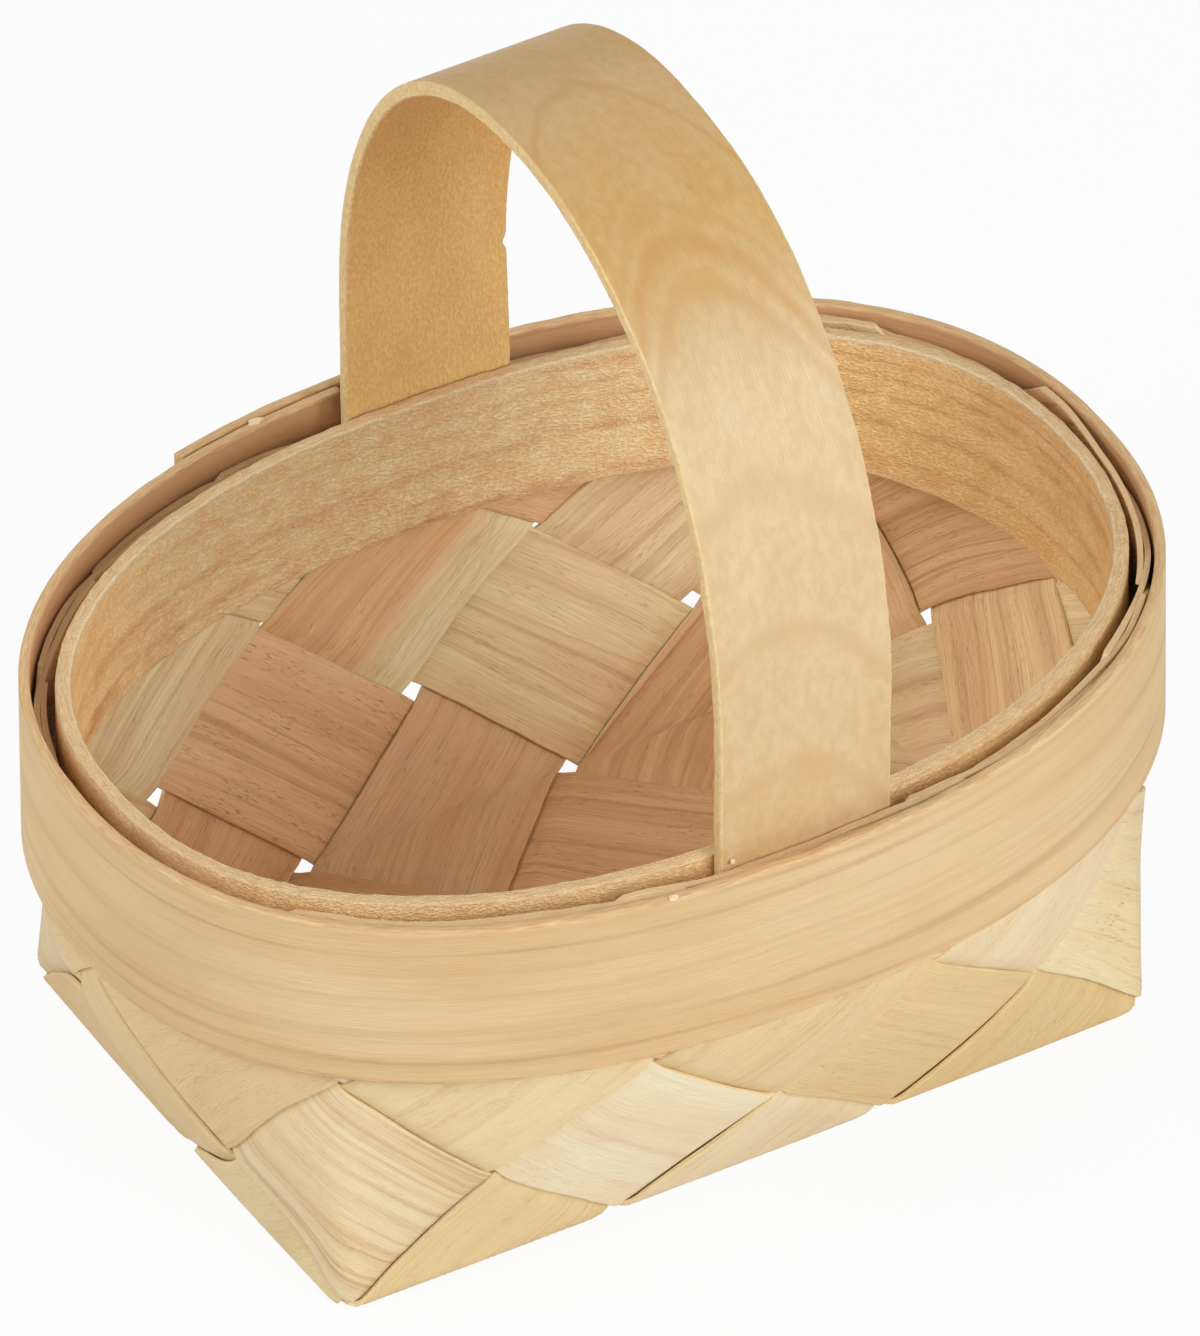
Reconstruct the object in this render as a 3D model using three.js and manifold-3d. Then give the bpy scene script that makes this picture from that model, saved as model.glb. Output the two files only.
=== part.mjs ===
// Small oval-rimmed basket, plaited on the diagonal from ten thin wood splints.
// The splints start as a flat rectangular base, fold up into four walls and run up
// between two bent wood hoops, which clamp them and both ends of a bowed strap handle.
// Millimetres, +Z up, X along the basket's length. The basket stands on z = 0.
import * as THREE from 'three';
import Module from 'manifold-3d';
import { mergeVertices } from 'three/addons/utils/BufferGeometryUtils.js';

// Splints
const splintPitch = 25.2;        // from the middle of one splint to the next
const splintGap = 2;             // open slot between neighbours
const splintThickness = 0.7;
const splintTrim = 0.8;          // ends are cut this far below the hoops' top

// Base, counted in cells. A cell's side is the splint pitch taken on the diagonal.
const longCellCount = 3;
const shortCellCount = 2;

// Walls. The plait is drawn together as it is pulled up, so a cell is less high than long.
const wallCellHeight = 28.5;
const wallFlareRatio = 1.115;    // how soon the walls lean out: 0 is at the hoops, 1.5 is at the base

// Unevenness of the hand-made plait, as it is in the middle of either end. It fades out to the
// corners. At the right end the plait is drawn together less and has slipped toward the far side.
// At the left end the first crossings above the base have sagged.
const rightCellHeight = 30;
const rightSlip = 6;
const rightSlipReach = 35;       // how far in from the right edge the base has slipped too
const leftSag = 4;

// Rim, measured outside the outer hoop. The hoops sit a little askew on the base.
const rimLength = 137.2;
const rimWidth = 101.9;
const rimSquareness = 2.26;      // 2 is an ellipse, more is squarer
const rimHeight = 54.3;
const rimTwist = -0.8 * Math.PI / 180;
const rimShift = new THREE.Vector2(2.9, 3.4);
const outerHoopHeight = 23.3;
const outerHoopThickness = 1.3;
const innerHoopHeight = 19.5;
const innerHoopHeightRight = 22; // the band is wider at the basket's right end
const innerHoopWidening = 20;    // how far in from that end it starts to widen
const innerHoopThickness = 1.8;
const innerHoopDrop = 0.4;       // the inner hoop's top lies this far below the outer one's
const innerHoopEndRoom = 0.5;    // slack between splints and inner hoop at the basket's two ends

// Lap of the outer hoop, as places along X on the far side
const lapInnerEnd = -5.7;
const lapOuterEnd = -27;
const lapRun = 16;               // length over which the band climbs onto its own start

// Handle
const handleWidthNear = 22.7;
const handleWidthFar = 21.5;
const handleThickness = 1.85;
const handleHeight = 125.2;
const handleShoulder = 69;       // height at which the straight legs go over into the bow
const handleSquareness = 2.17;   // 2 is an ellipse, more is squarer
const handleShift = 2.6;         // whole handle, along the rim's length
const handleSkew = 0.9;          // far leg forward and near leg back of that
const handleTuck = 19;           // how deep the legs reach down between the hoops
const handleFlatten = 24;        // height above the rim where the legs' hollow has faded out

// Gap left between pieces that bear on each other, and how finely round shapes are divided
const seat = 0.3;
const stepsPerCell = 4;
const hoopSteps = 72;
const bowSteps = 44;
const legSteps = 9;
const strapSteps = 4;
const ovalSamples = 2000;

// Worked out
const unit = splintPitch * Math.SQRT2;
const halfLong = longCellCount / 2;
const halfShort = shortCellCount / 2;
const around = 2 * (longCellCount + shortCellCount);
const layerShift = (splintThickness + seat) / 2;
const weaveThickness = 2 * splintThickness + seat;
const weaveMid = weaveThickness / 2;
const halfBand = 0.5 - splintGap / splintPitch / 2;
const hoopBottom = rimHeight - outerHoopHeight;
const midInset = outerHoopThickness + seat + weaveThickness / 2;

const splintWood = new THREE.MeshStandardMaterial({ color: 0xdcbc88, roughness: 0.7, metalness: 0 });
const hoopWood = new THREE.MeshStandardMaterial({ color: 0xdcb983, roughness: 0.65, metalness: 0 });
const handleWood = new THREE.MeshStandardMaterial({ color: 0xdfbf8c, roughness: 0.6, metalness: 0 });

// A closed oval, walked by its own length. at(0) is the middle of the near long side and the
// walk goes counter-clockwise seen from above.
class Oval {
  constructor(halfX, halfY) {
    this.halfX = halfX;
    this.halfY = halfY;
    this.points = [];
    this.lengths = [0];
    for (let i = 0; i <= ovalSamples; i++) {
      const angle = 2 * Math.PI * i / ovalSamples - Math.PI / 2;
      const c = Math.cos(angle);
      const s = Math.sin(angle);
      const x = halfX * Math.sign(c) * Math.abs(c) ** (2 / rimSquareness);
      const y = halfY * Math.sign(s) * Math.abs(s) ** (2 / rimSquareness);
      this.points.push(new THREE.Vector2(x, y));
      if (i > 0) this.lengths.push(this.lengths[i - 1] + this.points[i].distanceTo(this.points[i - 1]));
    }
    this.length = this.lengths[ovalSamples];
  }

  at(fraction) {
    const wanted = (fraction - Math.floor(fraction)) * this.length;
    let low = 0;
    let high = this.lengths.length - 1;
    while (high - low > 1) {
      const middle = (low + high) >> 1;
      if (this.lengths[middle] > wanted) high = middle;
      else low = middle;
    }
    const part = (wanted - this.lengths[low]) / (this.lengths[high] - this.lengths[low]);
    return this.points[low].clone().lerp(this.points[high], part);
  }

  // Unit vector pointing out of the oval
  outward(fraction) {
    const step = 5 / ovalSamples;
    const along = this.at(fraction + step).sub(this.at(fraction - step)).normalize();
    return new THREE.Vector2(along.y, -along.x);
  }

  // How far from the long axis the far side is at a place along it
  far(x) {
    return this.halfY * (1 - Math.abs(x / this.halfX) ** rimSquareness) ** (1 / rimSquareness);
  }

  // The walk's fraction at a place along X on the far side
  fractionAtFarX(x) {
    let low = 0.25;
    let high = 0.75;
    for (let i = 0; i < 40; i++) {
      const middle = (low + high) / 2;
      if (this.at(middle).x > x) low = middle;
      else high = middle;
    }
    return low;
  }
}

const weaveOval = new Oval(rimLength / 2 - midInset, rimWidth / 2 - midInset);

// From the rim's own axes to the base's
function onRim(point) {
  return point.clone().rotateAround(new THREE.Vector2(0, 0), rimTwist).add(rimShift);
}

// Closed body from a row of equal rings of points. Each ring goes out along one face and comes
// back along the other, so that its first half lies over its second. startsAtFirst says which
// way the patch between two rings is divided.
function loftedBody(rings, startsAtFirst = () => true) {
  const count = rings[0].length;
  const triangles = [];
  for (let i = 0; i < rings.length - 1; i++) {
    for (let j = 0; j < count; j++) {
      const a = i * count + j;
      const b = i * count + (j + 1) % count;
      const c = b + count;
      const d = a + count;
      if (startsAtFirst(i, j)) triangles.push(a, c, b, a, d, c);
      else triangles.push(a, d, b, b, d, c);
    }
  }
  const end = (rings.length - 1) * count;
  for (let j = 1; j < count / 2; j++) {
    const k = count - 1 - j;
    triangles.push(j - 1, j, k + 1, j, k, k + 1);
    triangles.push(end + j - 1, end + k + 1, end + j, end + j, end + k + 1, end + k);
  }
  const geometry = new THREE.BufferGeometry();
  const positions = rings.flat().flatMap((p) => [p.x, p.y, p.z]);
  geometry.setAttribute('position', new THREE.Float32BufferAttribute(positions, 3));
  geometry.setIndex(triangles);
  return geometry;
}

const wasm = await Module();
wasm.setup();

function toSolid(geometry) {
  const bare = geometry.clone();
  bare.deleteAttribute('normal');
  bare.deleteAttribute('uv');
  const merged = mergeVertices(bare, 1e-5);
  return new wasm.Manifold(new wasm.Mesh({
    numProp: 3,
    vertProperties: new Float32Array(merged.attributes.position.array),
    triVerts: new Uint32Array(merged.index.array),
  }));
}

function toGeometry(solid) {
  const mesh = solid.getMesh();
  const geometry = new THREE.BufferGeometry();
  geometry.setAttribute('position', new THREE.BufferAttribute(mesh.vertProperties, 3));
  geometry.setIndex(new THREE.BufferAttribute(mesh.triVerts, 1));
  return geometry;
}

// How much a place along an end shares in that end's unevenness. y is measured in cells from
// the middle of the end.
function endShare(y) {
  return Math.max(1 - (y / halfShort) ** 2, 0);
}

// Wall surface: s runs round the base from the near left corner and v up the wall, in cells.
// The walls stand straight inside the hoops.
function wallPoint(s, v) {
  const even = ((s % around) + around) % around;
  const rightShare = endShare(even - longCellCount - halfShort);
  const leftShare = endShare(even - around + halfShort);
  const place = even + rightShare * rightSlip / unit;
  const pastRight = place - longCellCount - shortCellCount;
  const corner = new THREE.Vector2();
  if (place < longCellCount) corner.set(place - halfLong, -halfShort);
  else if (pastRight < 0) corner.set(halfLong, pastRight + halfShort);
  else if (pastRight < longCellCount) corner.set(halfLong - pastRight, halfShort);
  else corner.set(-halfLong, longCellCount + halfShort - pastRight);
  const foot = corner.multiplyScalar(unit);
  const head = onRim(weaveOval.at((place - halfLong) / around));
  const wallHeight = hoopBottom - weaveMid;
  const slope = Math.hypot(wallHeight, head.distanceTo(foot));
  const cellHeight = THREE.MathUtils.lerp(wallCellHeight, rightCellHeight, rightShare);
  const sag = v < 1 ? leftShare * leftSag * Math.sin(Math.PI * v) ** 2 : 0;
  const climbed = v * cellHeight - sag;
  if (climbed >= slope) return new THREE.Vector3(head.x, head.y, hoopBottom + climbed - slope);
  const part = climbed / slope;
  const lean = wallFlareRatio * part + (3 - 2 * wallFlareRatio) * part ** 2
    + (wallFlareRatio - 2) * part ** 3;
  const plan = foot.lerp(head, lean);
  return new THREE.Vector3(plan.x, plan.y, weaveMid + wallHeight * part);
}

// The four edges of the base: how far a place on the flat sheet lies over the edge, and where
// it comes on the walk round the base. x and y are in units.
const edges = {
  near: { over: (x, y) => -halfShort - y, place: (x) => x + halfLong },
  right: { over: (x) => x - halfLong, place: (x, y) => longCellCount + halfShort + y },
  far: { over: (x, y) => y - halfShort, place: (x) => longCellCount + shortCellCount + halfLong - x },
  left: { over: (x) => -halfLong - x, place: (x, y) => 2 * longCellCount + shortCellCount + halfShort - y },
};

// Middle surface of the plaited sheet, folded up over the edges that a splint's two ends cross
function sheetPoint(x, y, sides) {
  const edge = sides.map((side) => edges[side]).find(({ over }) => over(x, y) > 0);
  if (edge) return wallPoint(edge.place(x, y), edge.over(x, y));
  const nearness = THREE.MathUtils.smoothstep(x, halfLong - rightSlipReach / unit, halfLong);
  return new THREE.Vector3(x * unit, y * unit + nearness * endShare(y) * rightSlip, weaveMid);
}

// The two families of splints cross at right angles, at 45 degrees to the base's edges.
// band is the splint's place across its family and along the distance on it, both in units.
const families = {
  forward: {
    toSheet: (band, along) => [(along + band) / 2, (along - band) / 2],
    sides: (band) => [
      band < halfShort - halfLong ? 'left' : 'near',
      band < halfLong - halfShort ? 'far' : 'right',
    ],
    acrossSign: 1,
    isOuterWhereEven: false,
  },
  backward: {
    toSheet: (band, along) => [(band + along) / 2, (band - along) / 2],
    sides: (band) => [
      band < halfShort - halfLong ? 'left' : 'far',
      band < halfLong - halfShort ? 'near' : 'right',
    ],
    acrossSign: -1,
    isOuterWhereEven: true,
  },
};

// Outward vector that carries a point of the middle surface onto a face that lies at unit
// distance from it, also where the sheet is creased
function faceVector(surface, across, along) {
  const reach = 0.02;    // far enough to see both sides of a crease, in units
  const step = 0.004;
  const normals = [[reach, 0], [-reach, 0], [0, reach], [0, -reach]].map(([dq, dr]) => {
    const q = across + dq;
    const r = along + dr;
    const overBand = surface(q + step, r).sub(surface(q - step, r));
    const overLength = surface(q, r + step).sub(surface(q, r - step));
    return overLength.cross(overBand).normalize();
  });
  const mean = new THREE.Vector3();
  normals.forEach((n) => mean.add(n));
  mean.normalize();
  const spread = normals.reduce((sum, n) => sum + n.dot(mean), 0) / normals.length;
  return mean.divideScalar(spread);
}

// Everything above the height at which the splints' ends are trimmed
const trimHeight = rimHeight - splintTrim;
const offcut = new THREE.BoxGeometry(3 * rimLength, 3 * rimLength, rimHeight * 2);
offcut.translate(0, 0, trimHeight + rimHeight);
const offcutSolid = toSolid(offcut);

// One splint, woven over and under, folded at the base's edge and trimmed at the rim
function makeSplint(family, band) {
  const { toSheet, sides, acrossSign, isOuterWhereEven } = families[family];
  const crossed = sides(band);
  const surface = (across, along) => {
    const [x, y] = toSheet(band + acrossSign * across, along);
    return sheetPoint(x, y, crossed);
  };
  const isLow = (along) => Math.min(surface(-halfBand, along).z, surface(halfBand, along).z) < trimHeight;
  const middle = (longCellCount + shortCellCount + 1) % 2 / 2;
  let first = middle;
  let last = middle;
  while (isLow(first + halfBand)) first -= 1;
  while (isLow(last - halfBand)) last += 1;
  const acrossPlaces = [];
  for (let i = 0; i <= stepsPerCell; i++) acrossPlaces.push(halfBand * (2 * i / stepsPerCell - 1));
  const alongPlaces = [];
  const shifts = [];
  for (let cell = first; cell <= last; cell++) {
    const isOuter = (Math.round(cell + band) % 2 === 0) === isOuterWhereEven;
    acrossPlaces.forEach((place) => {
      alongPlaces.push(cell + place);
      shifts.push(isOuter ? layerShift : -layerShift);
    });
  }
  const rings = alongPlaces.map((along, i) => {
    const outer = [];
    const inner = [];
    acrossPlaces.forEach((across) => {
      const point = surface(across, along);
      const out = faceVector(surface, across, along);
      outer.push(point.clone().addScaledVector(out, shifts[i] + splintThickness / 2));
      inner.unshift(point.clone().addScaledVector(out, shifts[i] - splintThickness / 2));
    });
    return [...outer, ...inner];
  });
  // Each face is divided along the line that lies nearest to the sheet, which is its crease
  const gapOf = (q1, r1, q2, r2) => {
    const between = surface(q1, r1).add(surface(q2, r2)).multiplyScalar(0.5);
    return between.distanceTo(surface((q1 + q2) / 2, (r1 + r2) / 2));
  };
  const startsAtFirst = (i, j) => {
    const isOuterFace = j < stepsPerCell;
    const column = isOuterFace ? j : 2 * stepsPerCell - j;
    const isOnEdge = j === stepsPerCell || column < 0;
    if (isOnEdge) return true;
    const [q1, q2] = [acrossPlaces[column], acrossPlaces[column + 1]];
    const [r1, r2] = [alongPlaces[i], alongPlaces[i + 1]];
    const rising = gapOf(q1, r1, q2, r2) <= gapOf(q2, r1, q1, r2);
    return rising === isOuterFace;
  };
  const blank = toSolid(loftedBody(rings, startsAtFirst));
  return toGeometry(blank.subtract(offcutSolid));
}

// A bent wood band. Each station gives a place on the middle oval of the band, how far the
// band stands off it and how high the band is there.
function makeHoop(stations, thickness, top) {
  const rings = stations.map(({ oval, fraction, standOff, height }) => {
    const middle = oval.at(fraction);
    const out = oval.outward(fraction);
    return [[-1, 0], [1, 0], [1, 1], [-1, 1]].map(([side, level]) => {
      const point = onRim(middle.clone().addScaledVector(out, standOff + side * thickness / 2));
      return new THREE.Vector3(point.x, point.y, top + (level - 1) * height);
    });
  });
  return loftedBody(rings);
}

function makeOuterHoop() {
  const standOff = weaveThickness / 2 + seat + outerHoopThickness / 2;
  const start = weaveOval.fractionAtFarX(lapInnerEnd);
  const end = 1 + weaveOval.fractionAtFarX(lapOuterEnd);
  const lapStep = outerHoopThickness + seat;
  const climbStart = 1 + start - lapRun / weaveOval.length;
  const climbEnd = 1 + start - outerHoopThickness / weaveOval.length;
  const stations = [];
  const count = Math.round(hoopSteps * (end - start));
  for (let i = 0; i <= count; i++) {
    const fraction = start + (end - start) * i / count;
    const climb = THREE.MathUtils.smoothstep(fraction, climbStart, climbEnd);
    const raised = standOff + climb * lapStep;
    stations.push({ oval: weaveOval, fraction, standOff: raised, height: outerHoopHeight });
  }
  return makeHoop(stations, outerHoopThickness, rimHeight);
}

// The handle's legs follow the hollow side of the rim, so the space for them is the same oval
// shrunk to the splints' inner face
const legInset = weaveThickness / 2 + seat + handleThickness / 2;
const legOval = new Oval(weaveOval.halfX - legInset, weaveOval.halfY - legInset);
const innerHoopOval = new Oval(
  weaveOval.halfX - weaveThickness / 2 - innerHoopEndRoom - innerHoopThickness / 2,
  legOval.halfY - handleThickness / 2 - seat - innerHoopThickness / 2,
);

function makeInnerHoop() {
  const joint = seat / 2 / innerHoopOval.length;
  const stations = [];
  for (let i = 0; i <= hoopSteps; i++) {
    const fraction = joint + (1 - 2 * joint) * i / hoopSteps;
    const fromEnd = innerHoopOval.halfX - innerHoopOval.at(fraction).x;
    const widened = 1 - THREE.MathUtils.smoothstep(fromEnd, 0, innerHoopWidening);
    const height = THREE.MathUtils.lerp(innerHoopHeight, innerHoopHeightRight, widened);
    stations.push({ oval: innerHoopOval, fraction, standOff: 0, height });
  }
  return makeHoop(stations, innerHoopThickness, rimHeight - innerHoopDrop);
}

// Bow of the handle: distance from the long axis and height of the strap's middle, from the
// foot of the near leg over the top to the foot of the far leg
function bowPath() {
  const half = legOval.halfY;
  const rise = handleHeight - handleThickness / 2 - handleShoulder;
  const foot = rimHeight - handleTuck;
  const leg = [];
  for (let i = 0; i < legSteps; i++) {
    leg.push(new THREE.Vector2(-half, foot + (handleShoulder - foot) * i / legSteps));
  }
  const arch = [];
  for (let i = 0; i <= bowSteps; i++) {
    const angle = Math.PI * i / bowSteps;
    const across = -Math.cos(angle);
    arch.push(new THREE.Vector2(
      half * Math.sign(across) * Math.abs(across) ** (2 / handleSquareness),
      handleShoulder + rise * Math.sin(angle) ** (2 / handleSquareness),
    ));
  }
  const farLeg = leg.map((point) => new THREE.Vector2(-point.x, point.y)).reverse();
  return [...leg, ...arch, ...farLeg];
}

function makeHandle() {
  const path = bowPath();
  const rings = path.map((point, i) => {
    const before = path[Math.max(i - 1, 0)];
    const after = path[Math.min(i + 1, path.length - 1)];
    const along = after.clone().sub(before).normalize();
    const out = new THREE.Vector2(-along.y, along.x);
    const side = point.x / legOval.halfY;
    const width = THREE.MathUtils.lerp(handleWidthNear, handleWidthFar, (side + 1) / 2);
    const hollow = 1 - THREE.MathUtils.smoothstep(point.y, rimHeight, rimHeight + handleFlatten);
    const centre = handleShift + handleSkew * side;
    const face = (sign) => {
      const row = [];
      for (let j = 0; j <= strapSteps; j++) {
        const x = centre + width * (0.5 - j / strapSteps);
        const bend = (legOval.far(x) - legOval.halfY) * hollow * Math.sign(point.x);
        const y = point.x + bend + sign * out.x * handleThickness / 2;
        const z = point.y + sign * out.y * handleThickness / 2;
        const plan = onRim(new THREE.Vector2(x, y));
        row.push(new THREE.Vector3(plan.x, plan.y, z));
      }
      return sign > 0 ? row : row.reverse();
    };
    return [...face(1), ...face(-1)];
  });
  return loftedBody(rings);
}

const basket = new THREE.Group();

function add(name, geometry, material) {
  geometry.computeVertexNormals();
  const mesh = new THREE.Mesh(geometry, material);
  mesh.name = name;
  basket.add(mesh);
}

const splintsPerFamily = longCellCount + shortCellCount;
for (const family of Object.keys(families)) {
  for (let i = 0; i < splintsPerFamily; i++) {
    const band = i - (splintsPerFamily - 1) / 2;
    add(`${family}_splint_${i + 1}`, makeSplint(family, band), splintWood);
  }
}
add('outer_hoop', makeOuterHoop(), hoopWood);
add('inner_hoop', makeInnerHoop(), hoopWood);
add('handle', makeHandle(), handleWood);

// The origin is under the middle of the whole basket, lap included
const extent = new THREE.Box3().setFromObject(basket);
const centre = extent.getCenter(new THREE.Vector3());
basket.position.set(-centre.x, -centre.y, 0);

export default basket;
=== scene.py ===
import math

import bmesh
import bpy
import numpy as np
from mathutils import Matrix, Vector


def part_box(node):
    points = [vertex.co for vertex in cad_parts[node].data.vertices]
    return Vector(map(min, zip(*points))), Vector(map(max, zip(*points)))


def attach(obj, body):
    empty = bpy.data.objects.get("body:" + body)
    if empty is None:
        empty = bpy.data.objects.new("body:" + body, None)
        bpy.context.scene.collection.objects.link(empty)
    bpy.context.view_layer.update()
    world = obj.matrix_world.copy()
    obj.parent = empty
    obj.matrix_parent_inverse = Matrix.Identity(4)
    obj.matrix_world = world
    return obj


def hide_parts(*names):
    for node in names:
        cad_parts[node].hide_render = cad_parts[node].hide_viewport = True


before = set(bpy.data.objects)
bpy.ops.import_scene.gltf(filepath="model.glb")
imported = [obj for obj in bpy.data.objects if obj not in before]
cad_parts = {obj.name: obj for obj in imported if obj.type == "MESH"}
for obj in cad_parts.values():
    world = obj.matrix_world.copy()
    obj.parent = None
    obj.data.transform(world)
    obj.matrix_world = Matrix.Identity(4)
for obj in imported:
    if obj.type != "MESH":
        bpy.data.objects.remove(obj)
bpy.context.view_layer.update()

# Splints of the plait: ten strips sliced along the grain of a pale hardwood, 23 mm wide.
# They are plaited on the diagonal while damp and folded up over the edges of the base, and
# their ends run up between the two hoops, which clamp them.
mm_per_metre = 1000
splint_pitch = 25.2  # from the middle of one splint to the next
splint_gap = 2.0
splint_thickness = 0.7
splint_spacing = 0.3  # between the layers where two splints cross
splint_corner = 0.2
splint_sawn_share = 0.5  # of its rounded corner, which shows as cut edge
splint_crown = 0.25  # how far a splint bows out between two crossings
crown_height = 12.0  # above the table, where the outer splints bow out in full
cells_long = 3
cells_short = 2
wall_cell_height = 28.5  # measured up the slope of the wall
wall_flare = 1.115  # how fast the wall leans out at its foot; at the hoops it stands upright
right_cell_height = 30.0  # in the middle of the right end, where the plait has also slipped back
right_slip = 6.0
right_slip_reach = 35.0  # how far in from the base's right edge that slip begins
left_sag = 4.0  # of the lowest crossings in the middle of the left end
closing = 0.055  # share by which the splints lie closer together high on the walls
closing_rise = 8.0
closing_start = (7.0, 19.0)  # height at which that begins on the near side and on the far one
closing_start_sides = (-35.0, 25.0)  # places on Y between which the one turns to the other
fold_radius = 1.6
fold_samples = 12
crossing_turn = 0.08  # half the length, in cells, over which a splint changes layer
clamped_turn = 0.17  # the same between the hoops, which press the layers together
clamped_press = 0.15  # share by which the hoops press the layers together
clamped_rise = 8.0  # above the hoops' lower edge, over which that sets in
end_room = 0.3  # between the splints' ends and their top in the frame
cut_wave = (0.12, 1.7, 0)  # unevenness of the cut ends: its size, its spacing and its seed
side_waves = ((0.12, 11, 30), (0.06, 2.2, 50))  # the same of a splint's two edges
face_wave = (0.08, 17, 70)  # and of its faces
low_ends = (  # where they end low: direction and reach round the rim in degrees, and depth
    (173, 50, 3.6),
    (120, 50, 3.0),
    (75, 50, 3.0),
)
right_low_end = (6, 40)  # the same at the right end, where each splint has a depth of its own
splint_columns = 33  # of points across a splint's face
splint_row_length = 0.75  # between two rows of them
splint_search = 7.0  # in cells, past both ends of the longest splint
splint_search_rows = 701
wood_apart = 60.0  # between the places in the wood's pattern of one splint and the next
wood_gloss = 0.3
rim_width = 101.9
rim_square = 2.26  # power of the rim's outline, which would be 2 for an ellipse
rim_twist = math.radians(-0.8)
rim_shift = np.array([2.9, 3.4])  # of the rim's middle from the base's
outline_points = 4001
outline_search_points = 2001
outer_hoop_thickness = 1.3

hoop_low, hoop_high = (mm_per_metre * np.array(corner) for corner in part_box("outer_hoop"))
hoop_bottom = hoop_low[2]
rim_height = hoop_high[2]
rim_length = hoop_high[0] - hoop_low[0]
splint_top = mm_per_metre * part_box("forward_splint_1")[1].z
unit = splint_pitch * math.sqrt(2)  # side of a cell of the base
half_long = cells_long / 2
half_short = cells_short / 2
around = 2 * (cells_long + cells_short)
layer_height = (splint_thickness + splint_spacing) / 2
plait_thickness = 2 * splint_thickness + splint_spacing
plait_middle = plait_thickness / 2
plait_inset = outer_hoop_thickness + splint_spacing + plait_middle
rim_centre = np.array([(hoop_low[0] + hoop_high[0]) / 2, hoop_low[1] + rim_width / 2])
base_centre = rim_centre - rim_shift


def eased(part):
    """From 0 to 1 with a smooth start and a smooth end"""
    return part**2 * (3 - 2 * part)


class Oval:
    """Outline of a rim piece, walked counter-clockwise from the middle of its near side"""

    def __init__(self, half_x, half_y):
        turn = np.linspace(-0.5 * math.pi, 1.5 * math.pi, outline_points)
        bend = 2 / rim_square
        self.half_x = half_x
        self.half_y = half_y
        self.x = half_x * np.sign(np.cos(turn)) * np.abs(np.cos(turn)) ** bend
        self.y = half_y * np.sign(np.sin(turn)) * np.abs(np.sin(turn)) ** bend
        steps = np.hypot(np.diff(self.x), np.diff(self.y))
        self.walked = np.concatenate([[0.0], np.cumsum(steps)])
        self.length = self.walked[-1]

    def at(self, fraction):
        """The places at those fractions of the way round"""
        walk = np.mod(fraction, 1) * self.length
        return np.stack([np.interp(walk, self.walked, self.x), np.interp(walk, self.walked, self.y)], -1)

    def outward(self, fraction):
        """The direction straight out of the outline at those places"""
        step = 0.0025
        along = self.at(fraction + step) - self.at(fraction - step)
        along /= np.linalg.norm(along, axis=-1, keepdims=True)
        return np.stack([along[..., 1], -along[..., 0]], -1)

    def far(self, x):
        """How far out the outline lies on Y at those places on X"""
        return self.half_y * (1 - np.abs(x / self.half_x) ** rim_square) ** (1 / rim_square)

    def fraction_at_far(self, x):
        """How far round its far side reaches that place on X"""
        fractions = np.linspace(0.75, 0.25, outline_search_points)
        return np.interp(x, self.at(fractions)[:, 0], fractions)


def on_rim(plan):
    """Places in plan, given from the rim's middle, on the twisted rim"""
    turn = np.array([
        [math.cos(rim_twist), -math.sin(rim_twist)],
        [math.sin(rim_twist), math.cos(rim_twist)],
    ])
    return plan @ turn.T + rim_centre


plait_oval = Oval(rim_length / 2 - plait_inset, rim_width / 2 - plait_inset)


def base_outline(walk):
    """The base's edge, walked counter-clockwise from its near left corner in cells"""
    corners = [0, cells_long, cells_long + cells_short, around - cells_short, around]
    x = np.interp(walk, corners, [-half_long, half_long, half_long, -half_long, -half_long])
    y = np.interp(walk, corners, [-half_short, -half_short, half_short, half_short, -half_short])
    return base_centre + unit * np.stack([x, y], -1)


def end_share(y):
    """1 in the middle of an end of the basket, falling to 0 at its corners; y is in cells"""
    return np.maximum(1 - (y / half_short) ** 2, 0)


def wall_point(walk, climb):
    """Middle of the wall: walk runs round the base from its near left corner, climb goes up, in cells"""
    even = np.mod(walk, around)
    right_share = end_share(even - cells_long - half_short)
    left_share = end_share(even - around + half_short)
    walked = even + right_share * right_slip / unit
    foot = base_outline(walked)
    head = on_rim(plait_oval.at((walked - half_long) / around))
    height = hoop_bottom - plait_middle
    slope = np.hypot(height, np.linalg.norm(head - foot, axis=-1))
    cell_height = wall_cell_height + right_share * (right_cell_height - wall_cell_height)
    sag = left_share * left_sag * np.sin(math.pi * np.minimum(climb, 1)) ** 2
    climbed = climb * cell_height - sag
    part = np.clip(climbed / slope, 0, 1)
    lean = wall_flare * part + (3 - 2 * wall_flare) * part**2 + (wall_flare - 2) * part**3
    plan = foot + (head - foot) * lean[..., None]
    z = plait_middle + height * part + np.maximum(climbed - slope, 0)
    return np.concatenate([plan, z[..., None]], -1)


# For each side: how far a place is past the base's edge, and where that is on the walk round it,
# both in cells
edges = {
    "near": (lambda x, y: -half_short - y, lambda x, y: x + half_long),
    "right": (lambda x, y: x - half_long, lambda x, y: cells_long + half_short + y),
    "far": (lambda x, y: y - half_short, lambda x, y: cells_long + cells_short + half_long - x),
    "left": (lambda x, y: -half_long - x, lambda x, y: around - half_short - y),
}


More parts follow.
